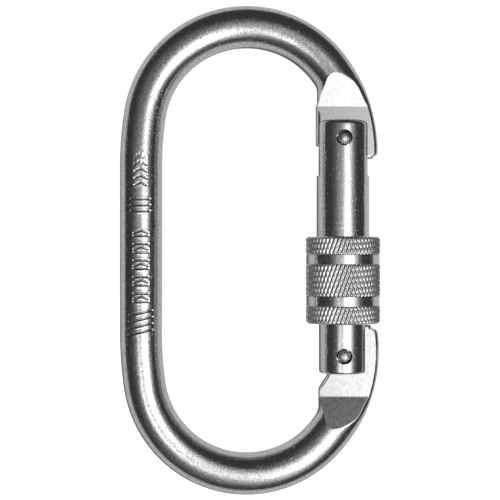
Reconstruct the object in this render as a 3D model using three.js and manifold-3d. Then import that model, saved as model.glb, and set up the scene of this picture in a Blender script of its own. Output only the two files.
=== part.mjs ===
// A screw-lock oval carabiner: a forged steel bar bent to an oval, closed by a
// sprung gate that swings inwards, and a knurled sleeve that locks the gate.
// Millimetres. The bows lie in the XZ plane, +X is the gate side, the front faces -Y.

import * as THREE from 'three';
import { mergeVertices } from 'three/addons/utils/BufferGeometryUtils.js';
import Module from 'manifold-3d';

const wasm = await Module();
wasm.setup();

// ---- Driving dimensions ----

const CLEARANCE = 0.3; // gap kept around every piece that fits in or moves past another

// Bar: two bows joined by a spine
const BAR_D = 9.3;
const BOW_R = 22.7; // centreline radius of both bows
const BOW_SPACING = 53.3; // between the bows' centres
const SPINE_SPREAD = 0.6; // how far the spine stands outside the bows' circles
const FLANK_R = 75; // slight curve between each bow and the spine
const CHAMFER_LENGTH = 6.9; // slope from the round bar down to each flat head
const TONGUE_T = 4.3; // thickness of both flat heads
const FORGING_OVERLAP = 0.05; // the bar is cut this much thinner than the plate set into it

// Hinge head, from the pivot
const PIVOT_DROP = 2.15; // pivot below the upper bow's centre
const HINGE_FLAT_RISE = 7.2; // pivot to the top of the flat
const HINGE_SPREAD = 1.6; // how far the head stands outside the bow
const INNER_LIP = 0.2; // how far the head shows past the gate's inner side
const CAM_DROP = 3.9; // pivot to the head's lower edge
const CAM_OFFSET = 2.2; // base radius of the edge that the push rod rides on
const PRONG_DROP = 1.5; // pivot to the foot of the inner prong
const HINGE_CORNER = 0.9; // cut off the head's corners
const HINGE_OUTER_ROOT = 44; // degrees round the bow at which each side of the head begins
const HINGE_INNER_ROOT = 36.5;

// Nose, from the latch pin
const LATCH_RISE = 3.55; // latch pin above the lower bow's centre
const NOSE_FLAT_DROP = 9; // latch pin to the foot of the flat
const NOSE_SPREAD = 1.9; // how far the nose stands outside the bow
const SHOULDER_RISE = 5.8; // latch pin to the shoulder that the sleeve closes on
const TIP_STEP = 0.5; // nose tip above the shoulder, inside the sleeve
const HOOK_REACH = 3.1; // hook's end, inwards from the gate's axis
const HEEL_GAP = 0.8; // gate's foot to the top of the heel, the slant below the hook
const HEEL_REACH = 2; // how far the heel stands inwards of the hook
const HEEL_EASE = 0.2; // the last of that reach, gained over this height above the flat's foot
const HEEL_EASE_HEIGHT = 2;
const HEEL_TAIL = 2.5; // heel's length below the flat's foot
const NOSE_UPRIGHT_RISE = 1; // latch pin to where the outer side stands upright
const NOSE_CORNER = 0.6; // cut off the nose's corners
const NOSE_OUTER_ROOT = -58; // degrees round the bow at which each side of the nose begins
const NOSE_INNER_ROOT = -40;

// Gate
const GATE_D = 11.6;
const GATE_INSET = 1.4; // gate's axis inside the bows' centreline
const GATE_STEP = 0.5; // lower end is this much smaller in radius
const STEP_HEIGHT = 15.1; // latch pin to that step
const GATE_TOP_LENGTH = 4; // pivot to the gate's top end
const GATE_FOOT_LENGTH = 3.95; // latch pin to the gate's foot
const HINGE_SLOT_DEPTH = 12.1;
const LATCH_SLOT_HEIGHT = 7.2; // latch pin to the slot's roof
const SPRING_BORE_D = 6.2;
const SPRING_BORE_DEPTH = 21.5; // pivot to the bore's floor
const GATE_EDGE = 1; // height cut off the gate's end edges

// Sleeve
const SLEEVE_WALL = 2.1;
const SLEEVE_LENGTH = 19.1;
const SLEEVE_LIFT = 1.2; // rest height above the nose's shoulder
const COUNTERBORE_WALL = 1.6;
const COUNTERBORE_DEPTH = 10.1;
const COUNTERBORE_LEAD = 0.4; // slope of the counterbore's ledge
const SLEEVE_BEVEL = 0.5;
const BAND_DEPTH = 0.2; // two smooth bands turned below the knurl
const BAND_WIDTH = 1.9;
const END_KNURL_LENGTH = 4;

// Rivets, push rod and spring
const RIVET_D = 2.9;
const RIVET_DOME = 0.7;
const RIVET_INSET = 0.05; // domed ends stay this far inside the gate's surface
const DOME_SHOULDER_R = 0.65; // point on the dome, as parts of its radius and its height
const DOME_SHOULDER_DEPTH = 0.4;
const ROD_HEAD_T = 2.6;
const ROD_STEM_D = 2.4;
const ROD_STEM_LENGTH = 8;
const SPRING_WIRE_D = 0.7;
const SPRING_TURNS = 7;

// Facets
const BAR_SIDES = 20;
const BAR_STEPS = 78;
const ROUND_SIDES = 28;
const SMALL_SIDES = 20;
const WIRE_SIDES = 6;
const TURN_STEPS = 12;

// ---- Worked-out places ----

const barR = BAR_D / 2;
const gateR = GATE_D / 2;
const footR = gateR - GATE_STEP;
const boreR = SPRING_BORE_D / 2;
const rivetR = RIVET_D / 2;
const rivetHoleR = rivetR + CLEARANCE;
const rootR = 0.75 * barR; // depth inside the round bar at which the heads' plates begin
const slotWidth = TONGUE_T + 2 * CLEARANCE;
const bowZ = BOW_SPACING / 2;
const spineX = -(BOW_R + SPINE_SPREAD);
const gateX = BOW_R - GATE_INSET;
const pivotZ = bowZ - PIVOT_DROP;
const latchZ = -(bowZ - LATCH_RISE);
const gateTopZ = pivotZ + GATE_TOP_LENGTH;
const gateFootZ = latchZ - GATE_FOOT_LENGTH;
const headFootZ = pivotZ - CAM_DROP;
const shoulderZ = latchZ + SHOULDER_RISE;
const sleeveBoreR = gateR + CLEARANCE;
const sleeveR = sleeveBoreR + SLEEVE_WALL;
const counterboreR = sleeveR - COUNTERBORE_WALL;
const rodTopZ = headFootZ - CLEARANCE;
const boreFloorZ = pivotZ - SPRING_BORE_DEPTH;

// ---- Shaping helpers ----

function toSolid(geometry) {
  const bare = geometry.clone();
  bare.deleteAttribute('normal');
  bare.deleteAttribute('uv');
  const merged = mergeVertices(bare);
  return new wasm.Manifold(new wasm.Mesh({
    numProp: 3,
    vertProperties: new Float32Array(merged.attributes.position.array),
    triVerts: new Uint32Array(merged.index.array),
  }));
}

function toGeometry(solid) {
  const { vertProperties, triVerts, numProp } = solid.getMesh();
  const positions = new Float32Array((vertProperties.length / numProp) * 3);
  for (let i = 0; i < positions.length / 3; i++) {
    positions.set(vertProperties.subarray(i * numProp, i * numProp + 3), i * 3);
  }
  const geometry = new THREE.BufferGeometry();
  geometry.setAttribute('position', new THREE.BufferAttribute(positions, 3));
  geometry.setIndex(new THREE.BufferAttribute(new Uint32Array(triVerts), 1));
  geometry.computeVertexNormals();
  return geometry;
}

// A plate in the XZ plane, centred on Y = 0.
function plate(outline, thickness) {
  const settings = { depth: thickness, bevelEnabled: false, curveSegments: 12 };
  const geometry = new THREE.ExtrudeGeometry(outline, settings);
  return geometry.translate(0, 0, -thickness / 2).rotateX(Math.PI / 2);
}

// A turned shape: [radius, height] points, about a vertical axis at x.
function turned(points, sides, x = gateX) {
  const profile = points.map(([radius, height]) => new THREE.Vector2(radius, height));
  return new THREE.LatheGeometry(profile, sides).rotateX(Math.PI / 2).translate(x, 0, 0);
}

function verticalCylinder(radius, bottomZ, topZ, sides) {
  return turned([[0, bottomZ], [radius, bottomZ], [radius, topZ], [0, topZ]], sides);
}

function crossCylinder(radius, length, z) {
  return new THREE.CylinderGeometry(radius, radius, length, SMALL_SIDES).translate(gateX, 0, z);
}

function block([x0, x1], [y0, y1], [z0, z1]) {
  return new THREE.BoxGeometry(x1 - x0, y1 - y0, z1 - z0)
    .translate((x0 + x1) / 2, (y0 + y1) / 2, (z0 + z1) / 2);
}

function onCircle(centreX, centreZ, radius, degrees) {
  const angle = THREE.MathUtils.degToRad(degrees);
  return [centreX + radius * Math.cos(angle), centreZ + radius * Math.sin(angle)];
}

// ---- The forged bar ----

class FlatCurve extends THREE.Curve {
  constructor(path) {
    super();
    this.path = path;
  }

  getPoint(t, target = new THREE.Vector3()) {
    const point = this.path.getPointAt(t);
    return target.set(point.x, 0, point.y);
  }
}

// From the hinge head, over the upper bow, down the spine and round to the nose.
function barCentreline() {
  const flankX = spineX + FLANK_R;
  const flankDrop = Math.sqrt((FLANK_R - BOW_R) ** 2 - flankX ** 2);
  const blend = Math.asin(flankDrop / (FLANK_R - BOW_R));
  const buried = THREE.MathUtils.degToRad(6);
  const path = new THREE.Path();
  path.absarc(0, bowZ, BOW_R, buried, Math.PI - blend, false);
  path.absarc(flankX, bowZ - flankDrop, FLANK_R, Math.PI - blend, Math.PI, false);
  path.absarc(flankX, flankDrop - bowZ, FLANK_R, Math.PI, Math.PI + blend, false);
  path.absarc(0, -bowZ, BOW_R, Math.PI + blend, 2 * Math.PI - buried, false);
  return new FlatCurve(path);
}

function roundBar() {
  const section = new THREE.Shape().absarc(0, 0, barR, 0, 2 * Math.PI, false);
  return new THREE.ExtrudeGeometry(section, {
    extrudePath: barCentreline(),
    steps: BAR_STEPS,
    curveSegments: BAR_SIDES / 2,
    bevelEnabled: false,
  });
}

// What is forged away on one face of a head: the slope, and all beyond the flat.
// side is -1 for the front and 1 for the back; up is 1 for the hinge head, -1 for the nose.
function forgingCut(flatZ, endZ, side, up) {
  const flatY = TONGUE_T / 2 - FORGING_OVERLAP;
  const beyond = barR + 1;
  const slope = CHAMFER_LENGTH / (barR - flatY);
  const corners = [
    [flatY, flatZ],
    [beyond, flatZ + up * slope * (beyond - flatY)],
    [beyond, endZ],
    [flatY, endZ],
  ];
  const outline = new THREE.Shape(corners.map(([y, z]) => new THREE.Vector2(side * y, z)));
  const innerX = gateX - GATE_D;
  const cut = new THREE.ExtrudeGeometry(outline, { depth: 2 * GATE_D, bevelEnabled: false });
  const basis = new THREE.Matrix4().makeBasis(
    new THREE.Vector3(0, 1, 0),
    new THREE.Vector3(0, 0, 1),
    new THREE.Vector3(1, 0, 0),
  );
  return cut.applyMatrix4(basis).translate(innerX, 0, 0);
}

// Radius of the outer edge that leaves the bow smoothly and stands upright at height z.
function outerEdgeRadius(outerX, heightFromBow) {
  const bowOuterR = BOW_R + barR;
  return (outerX ** 2 + heightFromBow ** 2 - bowOuterR ** 2) / (2 * (outerX - bowOuterR));
}

// The involute edge moves a flat-ended rod by CAM_OFFSET for each radian of the gate.
function camEdge() {
  const points = [];
  for (let degrees = 0; degrees <= 30; degrees += 10) {
    const turn = THREE.MathUtils.degToRad(degrees);
    const reach = CAM_DROP + CAM_OFFSET * turn;
    points.push([
      gateX - reach * Math.sin(turn) - CAM_OFFSET * Math.cos(turn),
      pivotZ - reach * Math.cos(turn) + CAM_OFFSET * Math.sin(turn),
    ]);
  }
  return points;
}

function hingeHead() {
  const outerX = BOW_R + barR + HINGE_SPREAD;
  const uprightZ = headFootZ + HINGE_CORNER;
  const edgeR = outerEdgeRadius(outerX, bowZ - uprightZ);
  const leave = Math.atan2(bowZ - uprightZ, edgeR - outerX);
  const innerX = gateX - gateR - INNER_LIP;
  const flatZ = pivotZ + HINGE_FLAT_RISE;
  const prongZ = pivotZ - PRONG_DROP;

  const outline = new THREE.Shape();
  outline.moveTo(...onCircle(0, bowZ, BOW_R + rootR, HINGE_OUTER_ROOT));
  outline.absarc(outerX - edgeR, uprightZ, edgeR, leave, 0, true);
  outline.lineTo(outerX - HINGE_CORNER, headFootZ);
  camEdge().forEach(([x, z]) => outline.lineTo(x, z));
  outline.lineTo(innerX + 2 * HINGE_CORNER, prongZ);
  outline.lineTo(innerX, prongZ);
  outline.lineTo(innerX, flatZ);
  outline.lineTo(innerX + INNER_LIP, flatZ + HINGE_CORNER);
  outline.lineTo(innerX + INNER_LIP, flatZ + 2 * HINGE_CORNER);
  outline.lineTo(...onCircle(0, bowZ, BOW_R - barR, HINGE_INNER_ROOT));
  outline.lineTo(...onCircle(0, bowZ, BOW_R - rootR, HINGE_OUTER_ROOT));
  return plate(outline, TONGUE_T);
}

function noseHead() {
  const outerX = BOW_R + barR + NOSE_SPREAD;
  const uprightZ = latchZ + NOSE_UPRIGHT_RISE;
  const edgeR = outerEdgeRadius(outerX, uprightZ + bowZ);
  const leave = Math.atan2(uprightZ + bowZ, edgeR - outerX);
  const hookX = gateX - HOOK_REACH;
  const tipX = gateX + counterboreR - CLEARANCE;
  const tipZ = shoulderZ + TIP_STEP;
  const heelX = hookX - HEEL_REACH;
  const flatZ = latchZ - NOSE_FLAT_DROP;

  const outline = new THREE.Shape();
  outline.moveTo(...onCircle(0, -bowZ, BOW_R + rootR, NOSE_OUTER_ROOT));
  outline.absarc(outerX - edgeR, uprightZ, edgeR, -leave, 0, false);
  outline.lineTo(outerX - NOSE_CORNER / 2, shoulderZ - NOSE_CORNER);
  outline.lineTo(outerX - 1.5 * NOSE_CORNER, shoulderZ);
  outline.lineTo(tipX, shoulderZ);
  outline.lineTo(tipX, tipZ);
  outline.lineTo(hookX + NOSE_CORNER, tipZ);
  outline.lineTo(hookX, tipZ - NOSE_CORNER);
  outline.lineTo(hookX, latchZ + rivetHoleR);
  outline.absarc(gateX, latchZ, rivetHoleR, Math.PI / 2, -Math.PI / 2, true);
  outline.lineTo(hookX, latchZ - rivetHoleR);
  outline.lineTo(hookX, gateFootZ - HEEL_GAP);
  outline.lineTo(heelX + HEEL_EASE, flatZ + HEEL_EASE_HEIGHT);
  outline.lineTo(heelX, flatZ);
  outline.lineTo(heelX, flatZ - HEEL_TAIL);
  outline.lineTo(...onCircle(0, -bowZ, BOW_R - barR, NOSE_INNER_ROOT));
  outline.lineTo(...onCircle(0, -bowZ, BOW_R - rootR, NOSE_OUTER_ROOT));
  return plate(outline, TONGUE_T);
}

function frameBar() {
  let solid = toSolid(roundBar());
  const hingeFlatZ = pivotZ + HINGE_FLAT_RISE;
  const noseFlatZ = latchZ - NOSE_FLAT_DROP;
  for (const side of [-1, 1]) {
    solid = solid.subtract(toSolid(forgingCut(hingeFlatZ, headFootZ, side, 1)));
    solid = solid.subtract(toSolid(forgingCut(noseFlatZ, shoulderZ, side, -1)));
  }
  solid = solid.add(toSolid(hingeHead())).add(toSolid(noseHead()));
  return toGeometry(solid.subtract(toSolid(crossCylinder(rivetHoleR, BAR_D, pivotZ))));
}

// ---- The gate and what it carries ----

function gateBody() {
  const stepZ = latchZ + STEP_HEIGHT;
  const past = GATE_D;
  let solid = toSolid(turned([
    [0, gateFootZ],
    [footR - 1.5 * GATE_EDGE, gateFootZ],
    [footR, gateFootZ + GATE_EDGE],
    [footR, stepZ],
    [gateR, stepZ + GATE_STEP],
    [gateR, gateTopZ - GATE_EDGE],
    [gateR - GATE_EDGE, gateTopZ],
    [0, gateTopZ],
  ], ROUND_SIDES));
  const cuts = [
    block(
      [gateX - past, gateX + past],
      [-slotWidth / 2, slotWidth / 2],
      [gateTopZ - HINGE_SLOT_DEPTH, gateTopZ + past],
    ),
    block(
      [gateX - HOOK_REACH - CLEARANCE, gateX + past],
      [-slotWidth / 2, slotWidth / 2],
      [gateFootZ - past, latchZ + LATCH_SLOT_HEIGHT],
    ),
    verticalCylinder(boreR, boreFloorZ, gateTopZ + past, SMALL_SIDES),
    crossCylinder(rivetHoleR, 2 * GATE_D, pivotZ),
    crossCylinder(rivetHoleR, 2 * GATE_D, latchZ),
  ];
  cuts.forEach((cut) => {
    solid = solid.subtract(toSolid(cut));
  });
  return toGeometry(solid);
}

// A rivet across the gate, its domed ends just inside the gate's surface.
function rivet(acrossR, z) {
  const end = acrossR - RIVET_INSET;
  const domeR = DOME_SHOULDER_R * rivetR;
  const domeDepth = DOME_SHOULDER_DEPTH * RIVET_DOME;
  return turned([
    [0, -end],
    [domeR, domeDepth - end],
    [rivetR, RIVET_DOME - end],
    [rivetR, end - RIVET_DOME],
    [domeR, end - domeDepth],
    [0, end],
  ], SMALL_SIDES, 0).rotateX(Math.PI / 2).translate(gateX, 0, z);
}

function pushRod() {
  const headR = boreR - CLEARANCE;
  const stemR = ROD_STEM_D / 2;
  const headZ = rodTopZ - ROD_HEAD_T;
  return turned([
    [0, headZ - ROD_STEM_LENGTH],
    [stemR, headZ - ROD_STEM_LENGTH],
    [stemR, headZ],
    [headR, headZ],
    [headR, rodTopZ],
    [0, rodTopZ],
  ], SMALL_SIDES);
}

class Helix extends THREE.Curve {
  constructor(radius, bottomZ, topZ) {
    super();
    Object.assign(this, { radius, bottomZ, topZ });
  }

  getPoint(t, target = new THREE.Vector3()) {
    const angle = 2 * Math.PI * SPRING_TURNS * t;
    const z = THREE.MathUtils.lerp(this.bottomZ, this.topZ, t);
    return target.set(
      gateX + this.radius * Math.cos(angle),
      this.radius * Math.sin(angle),
      z,
    );
  }
}

function gateSpring() {
  const wireR = SPRING_WIRE_D / 2;
  const bottomZ = boreFloorZ + CLEARANCE + wireR;
  const topZ = rodTopZ - ROD_HEAD_T - CLEARANCE - wireR;
  const section = new THREE.Shape().absarc(0, 0, wireR, 0, 2 * Math.PI, false);
  return new THREE.ExtrudeGeometry(section, {
    extrudePath: new Helix(boreR - CLEARANCE - wireR, bottomZ, topZ),
    steps: SPRING_TURNS * TURN_STEPS,
    curveSegments: WIRE_SIDES / 2,
    bevelEnabled: false,
  });
}

function lockSleeve() {
  const bottomZ = shoulderZ + SLEEVE_LIFT;
  const topZ = bottomZ + SLEEVE_LENGTH;
  const bandR = sleeveR - BAND_DEPTH;
  const lowBandZ = bottomZ + END_KNURL_LENGTH;
  const highBandZ = topZ - END_KNURL_LENGTH - BAND_WIDTH;
  const ledgeZ = bottomZ + COUNTERBORE_DEPTH;
  return turned([
    [counterboreR, bottomZ],
    [sleeveR - SLEEVE_BEVEL, bottomZ],
    [sleeveR, bottomZ + SLEEVE_BEVEL],
    [sleeveR, lowBandZ],
    [bandR, lowBandZ + BAND_DEPTH],
    [bandR, lowBandZ + BAND_WIDTH - BAND_DEPTH],
    [sleeveR, lowBandZ + BAND_WIDTH],
    [sleeveR, highBandZ],
    [bandR, highBandZ + BAND_DEPTH],
    [bandR, highBandZ + BAND_WIDTH - BAND_DEPTH],
    [sleeveR, highBandZ + BAND_WIDTH],
    [sleeveR, topZ - SLEEVE_BEVEL],
    [sleeveR - SLEEVE_BEVEL, topZ],
    [sleeveBoreR, topZ],
    [sleeveBoreR, ledgeZ],
    [counterboreR, ledgeZ - COUNTERBORE_LEAD],
    [counterboreR, bottomZ],
  ], ROUND_SIDES);
}

// ---- Assembly ----

const polished = { color: 0xc9cacb, roughness: 0.24, metalness: 1 };
const turnedSteel = { color: 0xb9babb, roughness: 0.32, metalness: 1 };
const knurled = { color: 0xb4b4b3, roughness: 0.36, metalness: 1 };
const springSteel = { color: 0x8f9092, roughness: 0.4, metalness: 1 };

const pieces = [
  ['frame_bar', frameBar(), polished],
  ['gate_body', gateBody(), turnedSteel],
  ['lock_sleeve', lockSleeve(), knurled],
  ['hinge_rivet', rivet(gateR, pivotZ), turnedSteel],
  ['latch_rivet', rivet(footR, latchZ), turnedSteel],
  ['push_rod', pushRod(), turnedSteel],
  ['gate_spring', gateSpring(), springSteel],
];

// The origin is where the carabiner hangs: on the inside of the upper bow, at its crown.
const carabiner = new THREE.Group();
carabiner.position.z = -(bowZ + BOW_R - barR);
pieces.forEach(([name, geometry, look]) => {
  const mesh = new THREE.Mesh(geometry, new THREE.MeshStandardMaterial(look));
  mesh.name = name;
  carabiner.add(mesh);
});

export default carabiner;
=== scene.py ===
"""The looks of a screw-lock oval carabiner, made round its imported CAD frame.

Metres. The carabiner hangs by its upper bow: +Z is up, +X the gate side, and the front faces -Y.
Each piece is made about the carabiner's middle and then moved to its place in the frame.
"""

import math

import bmesh
import bpy
import numpy as np
from mathutils import Matrix, Vector


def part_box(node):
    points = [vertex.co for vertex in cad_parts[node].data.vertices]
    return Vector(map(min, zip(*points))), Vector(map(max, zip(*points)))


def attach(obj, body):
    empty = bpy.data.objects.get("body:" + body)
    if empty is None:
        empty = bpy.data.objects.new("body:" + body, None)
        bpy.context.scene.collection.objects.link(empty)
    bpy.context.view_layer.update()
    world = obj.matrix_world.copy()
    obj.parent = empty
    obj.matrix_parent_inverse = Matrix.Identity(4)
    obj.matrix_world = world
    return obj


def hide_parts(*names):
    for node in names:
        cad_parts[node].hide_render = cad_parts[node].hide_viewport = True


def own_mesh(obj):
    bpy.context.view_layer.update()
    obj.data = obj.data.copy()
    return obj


bl_info = {
    "name": "Screw-lock oval carabiner",
    "version": (1, 0, 0),
    "blender": (4, 5, 0),
    "location": "3D View > Sidebar > Carabiner",
    "description": "Makes the pieces of a steel oval carabiner with a sprung gate and a locking sleeve",
    "category": "Object",
}

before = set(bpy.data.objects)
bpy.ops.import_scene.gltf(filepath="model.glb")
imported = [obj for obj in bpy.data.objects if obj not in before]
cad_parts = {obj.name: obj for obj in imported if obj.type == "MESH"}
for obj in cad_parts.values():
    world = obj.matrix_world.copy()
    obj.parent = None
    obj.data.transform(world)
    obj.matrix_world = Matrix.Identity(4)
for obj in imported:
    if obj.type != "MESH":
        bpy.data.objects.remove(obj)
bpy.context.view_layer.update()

MM = 0.001
NEAR_AXIS = 0.02 * MM  # radius at which an open turned profile starts and ends


def node_box(name):
    low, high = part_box(name)
    return np.array(low), np.array(high)


BAR_LOW, BAR_HIGH = node_box("frame_bar")
GATE_LOW, GATE_HIGH = node_box("gate_body")
SLEEVE_LOW, SLEEVE_HIGH = node_box("lock_sleeve")
ROD_LOW, ROD_HIGH = node_box("push_rod")
SPRING_LOW, SPRING_HIGH = node_box("gate_spring")
HINGE_LOW, HINGE_HIGH = node_box("hinge_rivet")
LATCH_LOW, LATCH_HIGH = node_box("latch_rivet")

MIDDLE_Z = (BAR_LOW[2] + BAR_HIGH[2]) / 2
GATE_X = (GATE_LOW[0] + GATE_HIGH[0]) / 2
PIVOT_Z = (HINGE_LOW[2] + HINGE_HIGH[2]) / 2 - MIDDLE_Z
LATCH_Z = (LATCH_LOW[2] + LATCH_HIGH[2]) / 2 - MIDDLE_Z


# ---- Sizes and colours that a user would change ----


def length(name, description, millimetres):
    return bpy.props.FloatProperty(
        name=name,
        description=description,
        default=millimetres * MM,
        precision=5,
        subtype="DISTANCE",
        unit="LENGTH",
    )


def colour(name, description, value):
    return bpy.props.FloatVectorProperty(
        name=name, description=description, default=value, size=3, min=0, max=1, subtype="COLOR"
    )


def share(name, description, value):
    return bpy.props.FloatProperty(
        name=name, description=description, default=value, min=0, max=1, subtype="FACTOR"
    )


class BarSettings(bpy.types.PropertyGroup):
    bow_radius: length("Bow radius", "Radius of both bows at the bar's centre", 22.7)
    spine_spread: length("Spine spread", "How far the spine stands outside the bows' circles", 0.6)
    flank_radius: length("Flank radius", "Slight curve that joins each bow to the spine", 75)
    tongue_thickness: length("Head thickness", "Thickness of the two flat heads", 4.3)
    chamfer_length: length("Slope length", "Slope from the round bar down to each flat", 6.9)
    forging_thickness: length("Forging thickness", "Thickness of the widened forging before its flats", 5.6)
    stamp_depth: length("Stamp depth", "Depth of the marks stamped in the spine", 0.2)


class GateSettings(bpy.types.PropertyGroup):
    foot_step: length("Foot step", "How much smaller in radius the gate's lower end is", 0.5)
    end_rounding: length("End rounding", "Rounding of both ends of the gate", 1.0)
    slot_width: length("Slot width", "Width of the slots at both ends", 4.9)
    hinge_slot_depth: length("Hinge slot depth", "Depth of the upper slot", 12.1)
    bore_diameter: length("Spring bore", "Diameter of the bore for the spring", 6.2)
    thread_pitch: length("Thread pitch", "Pitch of the screw thread", 1.4)
    thread_depth: length("Thread depth", "Depth of the worn screw thread", 0.012)


class SleeveSettings(bpy.types.PropertyGroup):
    knurl_pitch: length("Diamond height", "Height of one diamond of the knurl", 2.42)
    knurl_depth: length("Knurl depth", "Depth of the knurl", 0.32)
    band_depth: length("Band depth", "How far the smooth bands lie below the knurl", 0.1)
    band_width: length("Band width", "Width of each smooth band", 1.95)
    end_knurl: length("End knurl", "Height of the knurl at each end", 4.0)
    ridges: bpy.props.IntProperty(
        name="Ridges", description="Ridges of the knurl round the sleeve", default=56, min=8
    )


class FinishSettings(bpy.types.PropertyGroup):
    bar_colour: colour("Bar colour", "Polished plated bar", (0.74, 0.74, 0.735))
    flat_colour: colour("Flat colour", "Milled flats", (0.62, 0.62, 0.615))
    gate_colour: colour("Gate colour", "Turned gate", (0.72, 0.72, 0.71))
    sleeve_colour: colour("Sleeve colour", "Knurled sleeve", (0.70, 0.695, 0.68))
    rivet_colour: colour("Rivet colour", "Rivets and push rod", (0.62, 0.615, 0.60))
    spring_colour: colour("Spring colour", "Spring wire", (0.45, 0.45, 0.45))
    bar_gloss: share("Bar roughness", "Roughness of the polished bar", 0.13)
    gate_gloss: share("Gate roughness", "Roughness of the turned gate", 0.12)
    flat_gloss: share("Flat roughness", "Roughness of the milled flats", 0.24)


class StageSettings(bpy.types.PropertyGroup):
    camera_distance: length("Camera distance", "From the camera to the carabiner", 300)
    picture_width: length("Picture width", "What the picture takes in, at the carabiner", 110.55)
    centre_x: length("Picture centre", "Middle of the picture, sideways", 0.77)
    centre_rise: length("Picture rise", "Middle of the picture, above the carabiner's middle", 0.07)
    floor_drop: length("Floor drop", "From the carabiner down to the floor", 60)
    lamp_radius: length("Lamp radius", "Evenly bright middle of the lamp", 52)
    lamp_fade: length("Lamp fade", "How quickly the lamp falls off past its middle", 44)
    lamp_strength: bpy.props.FloatProperty(
        name="Lamp strength", description="Brightness of the lamp's middle", default=2.8, min=0
    )
    lamp_place: bpy.props.FloatVectorProperty(
        name="Lamp place",
        description="From the carabiner's middle to the lamp",
        default=(0.103, -0.27, -0.083),
        size=3,
        subtype="TRANSLATION",
        unit="LENGTH",
    )
    second_radius: length("Second radius", "Evenly bright middle of the second lamp", 18)
    second_fade: length("Second fade", "How quickly the second lamp falls off", 19)
    second_strength: bpy.props.FloatProperty(
        name="Second strength", description="Brightness of the second lamp's middle", default=1.7, min=0
    )
    second_place: bpy.props.FloatVectorProperty(
        name="Second place",
        description="From the carabiner's middle to the second lamp",
        default=(-0.065, -0.27, -0.086),
        size=3,
        subtype="TRANSLATION",
        unit="LENGTH",
    )


SETTINGS = {
    "carabiner_bar": BarSettings,
    "carabiner_gate": GateSettings,
    "carabiner_sleeve": SleeveSettings,
    "carabiner_finish": FinishSettings,
    "carabiner_stage": StageSettings,
}


# ---- Small sums ----


def smooth(low, high, value):
    """0 below low, 1 above high, and a smooth rise between them."""
    t = np.clip((np.asarray(value, float) - low) / (high - low), 0, 1)
    return t * t * (3 - 2 * t)


def soft_min(a, b, blend):
    """The smaller of two values, rounded over where they meet."""
    h = np.clip(0.5 + 0.5 * (b - a) / blend, 0, 1)
    return b * (1 - h) + a * h - blend * h * (1 - h)


# ---- Making meshes ----


def add_piece(name, mesh):
    piece = bpy.data.objects.new(name, mesh)
    bpy.context.scene.collection.objects.link(piece)
    return piece


def mesh_from(name, points, faces):
    """A closed mesh from points about the carabiner's middle, its faces pointing out."""
    mesh = bpy.data.meshes.new(name)
    placed = np.asarray(points, float) + (0, 0, MIDDLE_Z)
    mesh.from_pydata(placed.tolist(), [], faces)
    mesh.update()
    mesh.validate()
    shape = bmesh.new()
    shape.from_mesh(mesh)
    if shape.calc_volume(signed=True) < 0:
        bmesh.ops.reverse_faces(shape, faces=shape.faces)
    shape.to_mesh(mesh)
    shape.free()
    mesh.polygons.foreach_set("use_smooth", [True] * len(mesh.polygons))
    return mesh


def ring_faces(ring_count, columns, joined_ends=False):
    """Quads between rings of points. With joined_ends the last ring meets the first."""
    faces = []
    for ring in range(ring_count if joined_ends else ring_count - 1):
        start, above = ring * columns, (ring + 1) % ring_count * columns
        for column in range(columns):
            beside = (column + 1) % columns
            faces.append((start + column, start + beside, above + beside, above + column))
    return faces


def tube_faces(ring_count, columns):
    """Quads between rings of points, with both end rings capped."""
    last = (ring_count - 1) * columns
    caps = [tuple(range(columns))[::-1], tuple(range(last, last + columns))]
    return ring_faces(ring_count, columns) + caps


def turned_points(profile, columns, x=None):
    """Rings of points for a profile of (radius, height), about a vertical axis."""
    angles = np.arange(columns) * 2 * math.pi / columns
    radius, height = np.array(profile, float).T
    points = np.empty((len(profile), columns, 3))
    points[..., 0] = (GATE_X if x is None else x) + radius[:, None] * np.cos(angles)
    points[..., 1] = radius[:, None] * np.sin(angles)
    points[..., 2] = height[:, None]
    return points.reshape(-1, 3)


def turned_mesh(name, profile, columns, closed_profile=False, x=None):
    """A lathe shape. An open profile starts and ends a hair off the axis, and is capped there."""
    points = turned_points(profile, columns, x)
    if closed_profile:
        faces = ring_faces(len(profile), columns, joined_ends=True)
    else:
        faces = tube_faces(len(profile), columns)
    return mesh_from(name, points, faces)


def arc(centre_radius, centre_height, radius, start, end, steps):
    """Profile points on an arc, in degrees, 0 outwards and 90 up."""
    turns = np.radians(np.linspace(start, end, steps + 1))
    return [
        (centre_radius + radius * math.cos(turn), centre_height + radius * math.sin(turn))
        for turn in turns
    ]


def evened(heights, spacing):
    """Heights along a straight stretch, no further apart than spacing."""
    low, high = heights
    steps = max(1, math.ceil(abs(high - low) / spacing))
    return list(np.linspace(low, high, steps + 1))


def apply_modifiers(piece):
    """Turns the evaluated piece into a plain mesh and removes its modifiers."""
    bpy.context.view_layer.update()
    evaluated = piece.evaluated_get(bpy.context.evaluated_depsgraph_get())
    mesh = bpy.data.meshes.new_from_object(evaluated)
    old = piece.data
    piece.modifiers.clear()
    piece.data = mesh
    bpy.data.meshes.remove(old)
    mesh.name = piece.name


def cut(piece, cutter_meshes):
    """Cuts closed meshes out of a piece."""
    for mesh in cutter_meshes:
        cutter = add_piece(mesh.name, mesh)
        modifier = piece.modifiers.new("cut", "BOOLEAN")
        modifier.operation = "DIFFERENCE"
        modifier.solver = "EXACT"
        modifier.object = cutter
        apply_modifiers(piece)
        bpy.data.objects.remove(cutter)
        bpy.data.meshes.remove(mesh)


def box_mesh(name, low, high):
    corners = [
        (x, y, z) for x in (low[0], high[0]) for y in (low[1], high[1]) for z in (low[2], high[2])
    ]
    faces = [(0, 1, 3, 2), (4, 6, 7, 5), (0, 4, 5, 1), (2, 3, 7, 6), (0, 2, 6, 4), (1, 5, 7, 3)]
    return mesh_from(name, corners, faces)


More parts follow.
